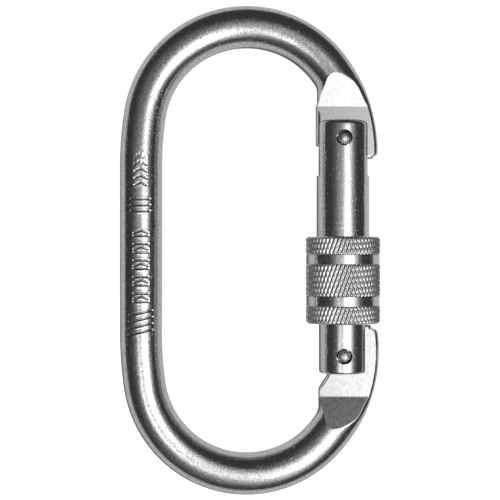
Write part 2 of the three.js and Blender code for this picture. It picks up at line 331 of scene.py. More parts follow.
def cross_mesh(name, profile, z, columns):
    """A lathe shape laid along Y through the gate's axis at a height."""
    mesh = turned_mesh(name, profile, columns, x=0)
    mesh.transform(Matrix.Translation((0, 0, -MIDDLE_Z)))
    mesh.transform(Matrix.Rotation(math.pi / 2, 4, "X"))
    mesh.transform(Matrix.Translation((GATE_X, 0, z + MIDDLE_Z)))
    return mesh


def cross_hole(name, radius, reach, z):
    return cross_mesh(name, [(radius, -reach), (radius, reach)], z, 64)


def round_edges(piece, width, angle=40):
    bevel = piece.modifiers.new("edges", "BEVEL")
    bevel.width = width
    bevel.segments = 2
    bevel.limit_method = "ANGLE"
    bevel.angle_limit = math.radians(angle)
    bevel.use_clamp_overlap = True
    apply_modifiers(piece)


def crisp(piece, angle=35):
    """Smooth shading that stops at edges sharper than the angle."""
    mesh = piece.data
    mesh.polygons.foreach_set("use_smooth", [True] * len(mesh.polygons))
    shape = bmesh.new()
    shape.from_mesh(mesh)
    for edge in shape.edges:
        if len(edge.link_faces) == 2:
            edge.smooth = edge.calc_face_angle() < math.radians(angle)
    shape.to_mesh(mesh)
    shape.free()


def weld(piece, distance=0.001 * MM):
    """Merges doubled points and drops faces with no area."""
    shape = bmesh.new()
    shape.from_mesh(piece.data)
    bmesh.ops.remove_doubles(shape, verts=shape.verts, dist=distance)
    bmesh.ops.dissolve_degenerate(shape, edges=shape.edges, dist=distance)
    shape.to_mesh(piece.data)
    shape.free()


def seat(piece, body, slot, *nodes):
    """Puts a finished piece on its body, in place of its CAD nodes."""
    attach(piece, body)
    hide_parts(*nodes)


# ---- Finishes ----


def new_material(name, base, roughness):
    material = bpy.data.materials.new(name)
    material.use_nodes = True
    nodes = material.node_tree.nodes
    shader = nodes["Principled BSDF"]
    shader.inputs["Base Color"].default_value = (*base, 1)
    shader.inputs["Metallic"].default_value = 1
    shader.inputs["Roughness"].default_value = roughness
    return material, nodes, material.node_tree.links, shader


def stretched_noise(nodes, links, scale, detail=3.0, roughness=0.55):
    """Noise in object coordinates, with a scale of its own along each axis, in cells per metre."""
    place = nodes.new("ShaderNodeTexCoord")
    mapping = nodes.new("ShaderNodeMapping")
    mapping.inputs["Scale"].default_value = scale
    noise = nodes.new("ShaderNodeTexNoise")
    noise.inputs["Scale"].default_value = 1
    noise.inputs["Detail"].default_value = detail
    noise.inputs["Roughness"].default_value = roughness
    links.new(place.outputs["Object"], mapping.inputs["Vector"])
    links.new(mapping.outputs["Vector"], noise.inputs["Vector"])
    return noise.outputs["Fac"]


def ramp(nodes, links, source, low, high, from_value, to_value):
    """Carries a source from the range low..high to from_value..to_value."""
    node = nodes.new("ShaderNodeMapRange")
    node.inputs["From Min"].default_value = low
    node.inputs["From Max"].default_value = high
    node.inputs["To Min"].default_value = from_value
    node.inputs["To Max"].default_value = to_value
    links.new(source, node.inputs["Value"])
    return node.outputs["Result"]


def grain_noise(nodes, links, scale, detail=3.0, roughness=0.6):
    """Noise that runs along the bar, from the piece's own lengthwise and crosswise places."""
    place = nodes.new("ShaderNodeAttribute")
    place.attribute_name = "grain"
    mapping = nodes.new("ShaderNodeMapping")
    mapping.inputs["Scale"].default_value = scale
    noise = nodes.new("ShaderNodeTexNoise")
    noise.inputs["Scale"].default_value = 1
    noise.inputs["Detail"].default_value = detail
    noise.inputs["Roughness"].default_value = roughness
    links.new(place.outputs["Vector"], mapping.inputs["Vector"])
    links.new(mapping.outputs["Vector"], noise.inputs["Vector"])
    return noise.outputs["Fac"]


def bump(nodes, links, height, strength, distance, before=None):
    node = nodes.new("ShaderNodeBump")
    node.inputs["Strength"].default_value = strength
    node.inputs["Distance"].default_value = distance
    links.new(height, node.inputs["Height"])
    if before is not None:
        links.new(before, node.inputs["Normal"])
    return node.outputs["Normal"]


def dents(nodes, links, scale, depth, before=None):
    """Bump of small scattered dents, left by tumbling and use."""
    spots = stretched_noise(nodes, links, scale, 2, 0.6)
    sunk = ramp(nodes, links, spots, 0.63, 0.74, 1, 0)
    return bump(nodes, links, sunk, 0.6, depth, before)


def shaded(nodes, links, source, base, darker):
    """Base colour that falls to a darker tone where the source is low."""
    node = nodes.new("ShaderNodeMix")
    node.data_type = "RGBA"
    node.inputs["A"].default_value = (*[darker * c for c in base], 1)
    node.inputs["B"].default_value = (*base, 1)
    links.new(source, node.inputs["Factor"])
    return node.outputs["Result"]


def polished_bar_finish(finish):
    """Bright plating over forged steel: a faint ripple, fine scratches along the bar, dull specks."""
    material, nodes, links, shader = new_material("polished_bar", finish.bar_colour, finish.bar_gloss)
    ripple = stretched_noise(nodes, links, (420, 420, 260), 2)
    grain = grain_noise(nodes, links, (120, 1700, 1), 4, 0.7)
    folds = grain_noise(nodes, links, (45, 620, 1), 2)
    specks = stretched_noise(nodes, links, (2300, 2300, 2300), 3, 0.7)
    gloss = finish.bar_gloss
    roughness = ramp(nodes, links, grain, 0.36, 0.66, gloss * 0.65, gloss * 2.0)
    links.new(roughness, shader.inputs["Roughness"])
    links.new(
        shaded(nodes, links, ramp(nodes, links, specks, 0.38, 0.52, 0, 1), finish.bar_colour, 0.68),
        shader.inputs["Base Color"],
    )
    normal = bump(nodes, links, ripple, 0.5, 0.045 * MM)
    normal = bump(nodes, links, folds, 0.7, 0.1 * MM, normal)
    normal = bump(nodes, links, grain, 0.8, 0.06 * MM, normal)
    normal = dents(nodes, links, (1700, 1700, 1300), 0.04 * MM, normal)
    links.new(bump(nodes, links, specks, 0.8, 0.03 * MM, normal), shader.inputs["Normal"])
    return material


def milled_flat_finish(name, base, finish, pitting):
    """The heads' flats and slopes: a fine even tooth left by the mill, with small dark pits."""
    material, nodes, links, shader = new_material(name, base, finish.flat_gloss)
    tooth = stretched_noise(nodes, links, (6500, 6500, 4200), 4, 0.7)
    pits = stretched_noise(nodes, links, (1500, 1500, 1100), 3, 0.6)
    gloss = finish.flat_gloss
    links.new(
        ramp(nodes, links, pits, 0.35, 0.7, gloss * 0.8, gloss * 1.5), shader.inputs["Roughness"]
    )
    links.new(
        shaded(nodes, links, ramp(nodes, links, tooth, 0.36, 0.47, 0, 1), base, 1 - pitting),
        shader.inputs["Base Color"],
    )
    links.new(bump(nodes, links, tooth, 0.5, 0.014 * MM), shader.inputs["Normal"])
    return material


def turned_finish(name, base, gloss, ring_strength):
    """Turned steel: fine rings round the axis, and worn specks."""
    material, nodes, links, shader = new_material(name, base, gloss)
    rings = stretched_noise(nodes, links, (30, 30, 9000), 3, 0.6)
    specks = stretched_noise(nodes, links, (2600, 2600, 1600), 5, 0.75)
    links.new(
        ramp(nodes, links, specks, 0.46, 0.66, gloss * 0.8, gloss * 2.6), shader.inputs["Roughness"]
    )
    links.new(
        shaded(nodes, links, ramp(nodes, links, specks, 0.28, 0.42, 0, 1), base, 0.8),
        shader.inputs["Base Color"],
    )
    streaks = stretched_noise(nodes, links, (1100, 1100, 130), 3, 0.6)
    normal = bump(nodes, links, rings, ring_strength, 0.003 * MM)
    normal = bump(nodes, links, streaks, 0.5, 0.055 * MM, normal)
    normal = dents(nodes, links, (2200, 2200, 1400), 0.035 * MM, normal)
    links.new(bump(nodes, links, specks, 0.5, 0.012 * MM, normal), shader.inputs["Normal"])
    return material


def knurled_finish(finish):
    """The knurl: plated crests, with dull specks scattered over it."""
    base = finish.sleeve_colour
    material, nodes, links, shader = new_material("knurled_steel", base, 0.3)
    specks = stretched_noise(nodes, links, (3400, 3400, 3400), 4, 0.7)
    links.new(ramp(nodes, links, specks, 0.35, 0.7, 0.26, 0.42), shader.inputs["Roughness"])
    links.new(
        shaded(nodes, links, ramp(nodes, links, specks, 0.3, 0.45, 0, 1), base, 0.82),
        shader.inputs["Base Color"],
    )
    links.new(bump(nodes, links, specks, 0.25, 0.01 * MM), shader.inputs["Normal"])
    return material


# ---- The forged bar ----

# Points of each ring across the front, down each side and across the back
FRONT_COLUMNS = 52
SIDE_COLUMNS = 18
BACK_COLUMNS = 24

# Hinge head, measured from the pivot
HINGE_FLAT_RISE = 7.2 * MM
HINGE_FOOT_DROP = 3.9 * MM
HINGE_INNER_REACH = 6 * MM
HINGE_SPREAD = 1.6 * MM  # how far it stands outside the bow
HINGE_CORNER = 0.9 * MM
PRONG_DROP = 1.5 * MM
PRONG_ROUNDING = 0.4 * MM
CAM_OFFSET = 2.2 * MM

# Nose, measured from the latch rivet
NOSE_FLAT_DROP = 9 * MM
NOSE_SPREAD = 1.9 * MM
NOSE_UPRIGHT_RISE = 1 * MM
NOSE_ROUNDING = 0.9 * MM
SHOULDER_RISE = 5.8 * MM
TIP_STEP = 0.5 * MM
TIP_REACH = 6.3 * MM
HOOK_REACH = 3.1 * MM
HEEL_GAP = 0.8 * MM  # below the gate's foot
HEEL_LENGTH = 4.8 * MM
HEEL_REACH = 2.3 * MM

HOLE_R = 1.75 * MM  # round both rivets
HEAD_ANGLE = 44  # degrees up each bow at which a head has become the round bar
CREST_ANGLE = math.radians(48)  # half of what a round section's front takes in


class Outline:
    """Plan of the bar: its bows, spine, hinge head and nose, about the carabiner's middle."""

    def __init__(self, sizes):
        self.bar_r = (BAR_HIGH[1] - BAR_LOW[1]) / 2
        self.bow_r = sizes.bow_radius
        self.bow_z = (BAR_HIGH[2] - BAR_LOW[2]) / 2 - self.bow_r - self.bar_r
        self.spine_x = -(self.bow_r + sizes.spine_spread)
        self.flank_r = sizes.flank_radius
        self.flat_y = sizes.tongue_thickness / 2
        self.slope = (self.bar_r - self.flat_y) / sizes.chamfer_length
        self.forging_y = sizes.forging_thickness / 2
        self.hinge_flat_z = PIVOT_Z + HINGE_FLAT_RISE
        self.nose_flat_z = LATCH_Z - NOSE_FLAT_DROP
        self.hinge_foot_z = PIVOT_Z - HINGE_FOOT_DROP
        self.prong_z = PIVOT_Z - PRONG_DROP
        self.shoulder_z = LATCH_Z + SHOULDER_RISE
        self.tip_z = self.shoulder_z + TIP_STEP
        self.tip_x = GATE_X + TIP_REACH
        self.hook_x = GATE_X - HOOK_REACH
        self.hinge_in_x = GATE_X - HINGE_INNER_REACH
        self.hinge_upright_z = self.hinge_foot_z + HINGE_CORNER
        self.nose_upright_z = LATCH_Z + NOSE_UPRIGHT_RISE

    def cap(self, z, up):
        """Half thickness that the forging leaves at a height, above for the hinge, below for the nose."""
        flat_z = self.hinge_flat_z if up > 0 else -self.nose_flat_z
        return self.flat_y + np.maximum(0, up * z - flat_z) * self.slope

    def outer_arc(self, spread, upright_z, up):
        """Centre and radius of the head's outer edge, which leaves the bow and ends upright."""
        outer_r = self.bow_r + self.bar_r
        outer_x = outer_r + spread
        rise = self.bow_z - up * upright_z
        radius = (outer_x**2 + rise**2 - outer_r**2) / (2 * (outer_x - outer_r))
        return outer_x - radius, upright_z, radius

    def cam_x(self, z):
        """Inner end of the hinge head's foot: the involute edge that the push rod rides on."""
        turn = np.radians(np.linspace(0, 30, 13))
        reach = HINGE_FOOT_DROP + CAM_OFFSET * turn
        x = GATE_X - reach * np.sin(turn) - CAM_OFFSET * np.cos(turn)
        height = PIVOT_Z - reach * np.cos(turn) + CAM_OFFSET * np.sin(turn)
        return np.interp(z, height, x)

    def hinge_inner(self, z):
        """Inner edge of the hinge head at a height."""
        if z < self.prong_z:
            return min(self.cam_x(z), GATE_X)
        up = max(0.0, (self.prong_z + PRONG_ROUNDING - z) / PRONG_ROUNDING)
        corner = PRONG_ROUNDING * (1 - math.sqrt(max(0.0, 1 - up * up)))
        lip = 0.25 * MM * float(smooth(self.hinge_flat_z - 0.1 * MM, self.hinge_flat_z + 0.8 * MM, z))
        return self.hinge_in_x + corner + lip

    def nose_inner(self, z):
        """Inner edge of the nose at a height: the root, the hook and its notch for the rivet."""
        drop = abs(z - LATCH_Z)
        if drop < HOLE_R:
            return GATE_X + math.sqrt(HOLE_R**2 - drop**2)
        heel = GATE_LOW[2] - MIDDLE_Z + HEEL_GAP
        slant = (heel - z) / HEEL_LENGTH
        return self.hook_x - HEEL_REACH * float(smooth(0, 1, slant))

    def hinge_outer(self, z):
        """Outer edge of the hinge head below the bow's centre."""
        centre_x, upright_z, radius = self.outer_arc(HINGE_SPREAD, self.hinge_upright_z, 1)
        x = centre_x + math.sqrt(radius**2 - (z - upright_z) ** 2)
        corner = max(0.0, upright_z - z)
        return x - corner * corner / HINGE_CORNER

    def nose_outer(self, z):
        """Outer edge of the nose above the bow's centre."""
        centre_x, upright_z, radius = self.outer_arc(NOSE_SPREAD, self.nose_upright_z, -1)
        if z > self.shoulder_z:
            return self.tip_x
        x = centre_x + math.sqrt(radius**2 - (z - upright_z) ** 2)
        top = max(0.0, (z - self.shoulder_z + NOSE_ROUNDING) / NOSE_ROUNDING)
        return x - NOSE_ROUNDING * (1 - math.sqrt(max(0.0, 1 - top * top)))

    def head_radii(self, turn, up):
        """Inner and outer radius of a head on the ray that leaves its bow's centre at an angle."""
        if up > 0:
            spread, upright_z, inner = HINGE_SPREAD, self.hinge_upright_z, self.hinge_inner
        else:
            spread, upright_z, inner = NOSE_SPREAD, self.nose_upright_z, self.nose_inner
        centre_x, centre_z, radius = self.outer_arc(spread, upright_z, up)
        across, along = math.cos(turn), up * math.sin(turn)
        dx, dz = centre_x, centre_z - up * self.bow_z
        near = across * dx + along * dz
        leave = math.atan2(up * (up * self.bow_z - centre_z), -centre_x)
        outer = self.bow_r + self.bar_r
        if turn < leave:
            outer = near + math.sqrt(near**2 - dx**2 - dz**2 + radius**2)
        ring = self.bow_r - self.bar_r
        edge = ring
        for _ in range(3):
            edge = inner(up * self.bow_z + along * edge) / across
        return float(soft_min(edge, ring, 0.5 * MM)), outer


def section_points(outline, centre, outward, half_width, half_depth, squareness, up, front_half):
    """One ring of the bar: a superellipse, whose squareness is given for its inner and outer half.

    up is 1 or -1 where a head's flats cut the section, and 0 where none does.
    """

    def at(angle, side):
        """Point of the uncut section: angle in radians from the crest, side 1 outwards."""
        power = 2 / squareness[1 if side > 0 else 0]
        u = side * half_width * math.sin(angle) ** power
        return u, half_depth * math.cos(angle) ** power

    def limit(u):
        return outline.cap(centre[1] + u * outward[1], up) if up else 1.0

    def edge_angle(side, least):
        """Where the flat meets the rounded side, as an angle from the crest."""
        low, high = 0.0, math.radians(89)
        u, v = at(least, side)
        if v <= limit(u):
            return least
        for _ in range(30):
            middle = (low + high) / 2
            u, v = at(middle, side)
            if v > limit(u):
                low = middle
            else:
                high = middle
        return max(low, least)

    def crest(inner_angle, outer_angle, count, sign):
        first, last = at(inner_angle, -1)[0], at(outer_angle, 1)[0]
        spread = np.linspace(0, 1, count - 1)
        near = 0.1 * MM / max(last - first, 1e-6)
        spread = np.sort(np.append(spread, [min(near, 0.01)]))
        if sign > 0:
            spread = 1 - spread
        row = []
        for share_along in spread:
            u = first + (last - first) * share_along
            power = squareness[1 if u > 0 else 0]
            reach = min(1.0, abs(u) / half_width)
            v = half_depth * (1 - reach**power) ** (1 / power)
            row.append((u, sign * min(v, limit(u))))
        return row

    back_half = math.radians(10)
    front_in, front_out = edge_angle(-1, front_half), edge_angle(1, front_half)
    back_in, back_out = edge_angle(-1, back_half), edge_angle(1, back_half)
    ring = crest(front_in, front_out, FRONT_COLUMNS, -1)
    ring += uneven_flank(at, front_out, back_out, 1, -1)
    ring += crest(back_in, back_out, BACK_COLUMNS, 1)
    ring += uneven_flank(at, back_in, front_in, -1, 1)
    points = []
    for u, v in ring:
        points.append((centre[0] + u * outward[0], v, centre[1] + u * outward[1]))
    return points


def uneven_flank(at, start, end, side, sign):
    """Points round one side of a section, between two crests of unlike width."""
    angles = np.linspace(start, math.pi - end, SIDE_COLUMNS + 2)[1:-1]
    row = []
    for angle in angles:
        u, v = at(min(angle, math.pi - angle), side)
        row.append((u, sign * v if angle < math.pi / 2 else -sign * v))
    return row


def forging_shape(outline, turn, up, half_width):
    """Half depth of a head's section, and the squareness that leaves a rim of a set width beside its
    flats, by the angle up its bow."""
    deepening = float(smooth(math.radians(10), math.radians(25), turn))
    rounding = float(smooth(math.radians(13), math.radians(34), turn))
    depth = outline.forging_y + (outline.bar_r - outline.forging_y) * deepening
    rims = (0.85 * MM, 0.85 * MM) if up > 0 else (0.45 * MM, 0.8 * MM)
    square = [1.26 * (rim / half_width) ** -0.495 for rim in rims]
    return depth, [max(2.2, value) * (1 - rounding) + 2 * rounding for value in square]


def head_rings(outline, up):
    """Rings of a head, from its free end to the bow's centre line."""
    rings = []
    bow_z = up * outline.bow_z
    if up > 0:
        prong_z = outline.prong_z
        heights = evened((outline.hinge_foot_z, prong_z - 0.01 * MM), 0.3 * MM)
        heights += evened((prong_z, prong_z + PRONG_ROUNDING), 0.08 * MM)
        heights += evened((prong_z + 0.6 * MM, bow_z), 0.4 * MM)
        inner, outer = outline.hinge_inner, outline.hinge_outer
    else:
        notch_top, notch_foot = LATCH_Z + HOLE_R, LATCH_Z - HOLE_R
        heights = evened((outline.tip_z, outline.shoulder_z + 0.01 * MM), 0.25 * MM)
        heights += evened((outline.shoulder_z, outline.shoulder_z - NOSE_ROUNDING), 0.1 * MM)
        heights += evened((outline.shoulder_z - 1.2 * MM, notch_top + 0.001 * MM), 0.5 * MM)
        sweep = np.linspace(0.02, 0.98, 15) * math.pi
        heights += [LATCH_Z + HOLE_R * math.cos(turn) for turn in sweep]
        heights += evened((notch_foot - 0.001 * MM, bow_z), 0.3 * MM)
        inner, outer = outline.nose_inner, outline.nose_outer
    for z in heights:
        left, right = inner(z), outer(z)
        depth, square = forging_shape(outline, 0, up, (right - left) / 2)
        centre = ((left + right) / 2, z)
        rings.append(
            section_points(
                outline, centre, (1, 0), (right - left) / 2, depth, square, up, math.radians(10)
            )
        )
    return rings


def rounded_end(ring, direction, rounding):
    """Rings that close a head's free end with a rounded edge, the smallest first."""
    ring = np.array(ring)
    middle = (ring.min(0) + ring.max(0)) / 2
    half = (ring.max(0) - ring.min(0)) / 2
    rings = []
    for turn in np.radians([90, 60, 30]):
        inset = rounding * (1 - math.cos(turn))
        scale = np.array([1 - inset / half[0], 1 - inset / half[1], 1])
        moved = middle + (ring - middle) * scale
        moved[:, 2] += direction * rounding * math.sin(turn)
        rings.append(moved)
    return rings


def bow_rings(outline, up):
    """Rings from a head's edge of the bow over its crown to where the spine's flank begins."""
    rings = []
    bow_z = up * outline.bow_z
    blend = flank_blend(outline)
    head_end = math.radians(HEAD_ANGLE)
    turns = list(np.radians(np.linspace(0.8, HEAD_ANGLE, 96)))
    turns += list(np.linspace(head_end, math.pi - blend, 118))[1:]
    for turn in turns:
        outward = (math.cos(turn), up * math.sin(turn))
        if turn <= head_end:
            inner, outer = outline.head_radii(turn, up)
            depth, square = forging_shape(outline, turn, up, (outer - inner) / 2)
        else:
            inner, outer = outline.bow_r - outline.bar_r, outline.bow_r + outline.bar_r
            depth, square = outline.bar_r, (2, 2)
        middle = (inner + outer) / 2
        centre = (middle * outward[0], bow_z + middle * outward[1])
        front = math.radians(10) + math.radians(38) * float(smooth(1.0, 2.6, turn))
        rings.append(
            section_points(
                outline,
                centre,
                outward,
                (outer - inner) / 2,
                depth,
                square,
                up if turn <= head_end else 0,
                front,
            )
        )
    return rings


def flank_blend(outline):
    """Angle that the slight curve between a bow and the spine turns through."""
    across = outline.spine_x + outline.flank_r
    return math.acos(across / (outline.flank_r - outline.bow_r))


def flank_rings(outline, up):
    """Rings of the slight curve between a bow and the spine, leaving the bow first."""
    blend = flank_blend(outline)
    centre_x = outline.spine_x + outline.flank_r
    centre_z = up * (outline.bow_z - (outline.flank_r - outline.bow_r) * math.sin(blend))
    rings = []
    radius = outline.bar_r
    for turn in np.linspace(blend, 0, 26)[1:]:
        outward = (-math.cos(turn), up * math.sin(turn))
        centre = (
            centre_x + outline.flank_r * outward[0],
            centre_z + outline.flank_r * outward[1],
        )
        rings.append(
            section_points(
                outline, centre, outward, radius, radius, (2, 2), 0, CREST_ANGLE
            )
        )
    return rings, centre_z


def spine_rings(outline, top_z, foot_z):
    rings = []
    radius = outline.bar_r
    for z in evened((top_z, foot_z), 0.13 * MM)[1:-1]:
        centre = (outline.spine_x, z)
        rings.append(
            section_points(
                outline, centre, (-1, 0), radius, radius, (2, 2), 0, CREST_ANGLE
            )
        )
    return rings


def bar_rings(outline):
    """Every ring of the bar, from the hinge head's foot round to the nose's tip."""
    upper = head_rings(outline, 1)
    upper = rounded_end(upper[0], -1, 0.35 * MM) + upper + bow_rings(outline, 1)
    lower = head_rings(outline, -1)
    lower = rounded_end(lower[0], 1, 0.25 * MM) + lower + bow_rings(outline, -1)
    upper_flank, top_z = flank_rings(outline, 1)
    lower_flank, foot_z = flank_rings(outline, -1)
    upper += upper_flank + spine_rings(outline, top_z, foot_z)
    return upper + (lower + lower_flank)[::-1]


# Generic stamped marks. Each stroke is (across, along, across, along) in millimetres on the front
# of the spine: across runs from the crest towards the eye, along runs up from the spine's middle.


def stamp_strokes():
    """A band of slanting bars, a row of crossbars with chevrons, and two shorter rows above."""
    strokes = [(-2.4, along, 2.9, along + 1.1) for along in (-18.4, -17.0, -15.6, -14.2)]
    for index in range(9):
        along = -11.2 + 1.8 * index
        strokes += [(-1.3, along, 1.9, along)]
        if index % 2 == 0:
            strokes += [(-1.3, along + 0.6, 0.3, along + 1.2), (0.3, along + 1.2, 1.9, along + 0.6)]
    for along in (8.6, 9.9, 11.2):
        strokes += [(-2.0, along, 2.3, along)]
    for index in range(5):
        along = 14.2 + 1.5 * index
        strokes += [(-1.1, along, 0.2, along + 0.7), (0.2, along + 0.7, 1.5, along)]
    return np.array(strokes) * MM


def stamp_depth_at(across, along, strokes, depth):
    """Depth of the stamp at points on the spine: a rounded groove along each stroke."""
    nearest = np.full(len(across), 1.0)
    for x0, z0, x1, z1 in strokes:
        dx, dz = x1 - x0, z1 - z0
        share_along = ((across - x0) * dx + (along - z0) * dz) / (dx * dx + dz * dz)
        share_along = np.clip(share_along, 0, 1)
        distance = np.hypot(across - x0 - share_along * dx, along - z0 - share_along * dz)
        nearest = np.minimum(nearest, distance)
    groove, lip = 0.24 * MM, 0.42 * MM
    sunk = depth * (1 - smooth(0, groove, nearest))
    raised = 0.22 * depth * (smooth(groove, lip, nearest) - smooth(lip, lip + 0.2 * MM, nearest))
    return sunk - raised


def stamp_spine(outline, points, depth):
    """Presses the marks into the front of the spine."""
    x, y, z = points.T
    across = x - outline.spine_x
    on_front = (y < 0) & (np.abs(across) < outline.bar_r) & (np.abs(z) < 22 * MM)
    chosen = np.nonzero(on_front & (x < 0))[0]
    turn = np.arctan2(across[chosen], -y[chosen])
    sunk = stamp_depth_at(turn * outline.bar_r, z[chosen], stamp_strokes(), depth)
    points[chosen, 0] -= sunk * np.sin(turn)
    points[chosen, 1] += sunk * np.cos(turn)


def write_grain(mesh, rings):
    """Stores each point's place along the bar and round it, for a finish that follows the bar."""
    middles = rings.mean(1)
    steps = np.linalg.norm(np.diff(middles, axis=0), axis=1)
    along = np.concatenate([[0], np.cumsum(steps)])
    columns = rings.shape[1]
    width = np.linalg.norm(np.diff(rings, axis=1), axis=2)
    around = np.concatenate([np.zeros((len(rings), 1)), np.cumsum(width, axis=1)], axis=1)
    grain = np.zeros((len(rings), columns, 3), np.float32)
    grain[..., 0] = along[:, None]
    grain[..., 1] = around
    attribute = mesh.attributes.new("grain", "FLOAT_VECTOR", "POINT")
    attribute.data.foreach_set("vector", grain.reshape(-1))


def paint_flats(outline, mesh):
    """Gives the milled finishes, with their painted shade tones, to the faces of the hinge flat, the slopes
    and the nose flat.
    """
    for face in mesh.polygons:
        x, y, z = face.center
        z -= MIDDLE_Z
        milled = abs(abs(y) - outline.cap(z, 1 if z > 0 else -1)) < 0.015 * MM
        if x > 0 and milled and abs(face.normal.y) > 0.9:
            flat = abs(face.normal.y) > 0.975
            face.material_index = (1 if z > 0 else 3) if flat else 2


def make_bar(context):
    scene = context.scene
    sizes, finish = scene.carabiner_bar, scene.carabiner_finish
    outline = Outline(sizes)
    rings = bar_rings(outline)
    columns = len(rings[0])
    points = np.array(rings, float).reshape(-1, 3)
    stamp_spine(outline, points, sizes.stamp_depth)
    mesh = mesh_from("forged_bar", points, tube_faces(len(rings), columns))
    bar = add_piece("forged_bar", mesh)
    write_grain(bar.data, points.reshape(len(rings), columns, 3))
    bar.data.materials.append(polished_bar_finish(finish))
    # Painted shade: one milled finish in three copies, with the slopes and the nose flat painted darker
    # than the hinge flat; the second number is the pitting.
    painted_shade_tones = {"hinge_flat": (1.0, 0.4), "forged_slope": (0.92, 0.15), "nose_flat": (0.8, 0.45)}
    for name, (tone, pitting) in painted_shade_tones.items():
        base = [tone * value for value in finish.flat_colour]
        bar.data.materials.append(milled_flat_finish(name, base, finish, pitting))
    paint_flats(outline, bar.data)
    cut(bar, [cross_hole("rivet_hole", HOLE_R, 2 * outline.bar_r, PIVOT_Z)])
    crisp(bar, 50)
    seat(bar, "frame", "polished_bar", "frame_bar")


# ---- Relief that follows a helix: the screw thread and the knurl ----


class NodeSums:
    """Adds chained sums to a node tree."""

    def __init__(self, tree):
        self.tree = tree

    def add(self, kind):
        return self.tree.nodes.new(kind)

    def math(self, operation, *values):
        node = self.add("ShaderNodeMath")
        node.operation = operation
        for socket, value in zip(node.inputs, values):
            if isinstance(value, (int, float)):
                socket.default_value = value
            else:
                self.tree.links.new(value, socket)
        return node.outputs[0]


def relief_tree():
    """Raises a turned surface in ridges along two helices that cross. Bridge is how far the second
    one's grooves stay above the first one's: at 1 they are gone."""
    tree = bpy.data.node_groups.new("helical_relief", "GeometryNodeTree")
    face = tree.interface
    face.new_socket("Geometry", in_out="INPUT", socket_type="NodeSocketGeometry")
    for name in ("Axis X", "Starts", "Lead", "Depth", "Bridge", "Crest"):
        face.new_socket(name, in_out="INPUT", socket_type="NodeSocketFloat")
    face.new_socket("Finish", in_out="INPUT", socket_type="NodeSocketMaterial")
    face.new_socket("Geometry", in_out="OUTPUT", socket_type="NodeSocketGeometry")
    given = tree.nodes.new("NodeGroupInput").outputs
    sums = NodeSums(tree)
    link = tree.links.new

    place = sums.add("GeometryNodeInputPosition")
    parts = sums.add("ShaderNodeSeparateXYZ")
    link(place.outputs[0], parts.inputs[0])
    across = sums.math("SUBTRACT", parts.outputs["X"], given["Axis X"])
    radius = sums.math("POWER", across, 2.0)
    radius = sums.math("ADD", radius, sums.math("POWER", parts.outputs["Y"], 2.0))
    radius = sums.math("SQRT", radius)
    turn = sums.math("ARCTAN2", parts.outputs["Y"], across)
    turn = sums.math("MULTIPLY", turn, given["Starts"])
    turn = sums.math("DIVIDE", turn, 2 * math.pi)
    climb = sums.math("DIVIDE", parts.outputs["Z"], given["Lead"])

    def ridge(value):
        """1 on the round top of a ridge and 0 in the sharp groove."""
        wave = sums.math("MULTIPLY_ADD", sums.math("FRACT", value), 2.0, -1.0)
        return sums.math("SINE", sums.math("MULTIPLY", sums.math("ABSOLUTE", wave), math.pi / 2))

    first = ridge(sums.math("SUBTRACT", turn, climb))
    second = ridge(sums.math("ADD", turn, climb))
    height = sums.math("MINIMUM", first, sums.math("ADD", second, given["Bridge"]))
    height = sums.math("MINIMUM", height, given["Crest"])

    weight = sums.add("GeometryNodeInputNamedAttribute")
    weight.data_type = "FLOAT"
    weight.inputs["Name"].default_value = "relief"
    raised = sums.math("MULTIPLY", height, given["Depth"])
    raised = sums.math("MULTIPLY", raised, weight.outputs["Attribute"])
    share_out = sums.math("DIVIDE", raised, radius)
    offset = sums.add("ShaderNodeCombineXYZ")
    link(sums.math("MULTIPLY", across, share_out), offset.inputs["X"])
    link(sums.math("MULTIPLY", parts.outputs["Y"], share_out), offset.inputs["Y"])

    moved = sums.add("GeometryNodeSetPosition")
    link(given["Geometry"], moved.inputs["Geometry"])
    link(offset.outputs[0], moved.inputs["Offset"])
    whole = sums.add("GeometryNodeRealizeInstances")
    link(moved.outputs[0], whole.inputs[0])
    painted = sums.add("GeometryNodeSetMaterial")
    link(whole.outputs[0], painted.inputs["Geometry"])
    link(sums.math("GREATER_THAN", weight.outputs["Attribute"], 0.5), painted.inputs["Selection"])
    link(given["Finish"], painted.inputs["Material"])
    out = sums.add("NodeGroupOutput")
    link(painted.outputs[0], out.inputs[0])
    return tree


def raise_relief(piece, weights, **values):
    """Runs the relief tree on a piece. weights says how much of the relief each point takes."""
    attribute = piece.data.attributes.new("relief", "FLOAT", "POINT")
    attribute.data.foreach_set("value", np.asarray(weights, np.float32))
    tree = bpy.data.node_groups.get("helical_relief") or relief_tree()
    modifier = piece.modifiers.new("relief", "NODES")
    modifier.node_group = tree
    sockets = {s.name: s.identifier for s in tree.interface.items_tree if s.in_out == "INPUT"}
    for name, value in values.items():
        modifier[sockets[name.replace("_", " ")]] = value
    apply_modifiers(piece)
    piece.data.attributes.remove(piece.data.attributes["relief"])


# ---- The gate ----

GATE_COLUMNS = 160
CLEARANCE = 0.3 * MM
FOOT_STEP_RISE = 15.1 * MM  # from the latch rivet up to where the gate's lower end steps out
LATCH_SLOT_RISE = 7.2 * MM  # from the latch rivet up to the lower slot's roof
THREAD_TOP = 9.6 * MM
THREAD_FADE = 5 * MM  # the worn thread fades out from here up to its top


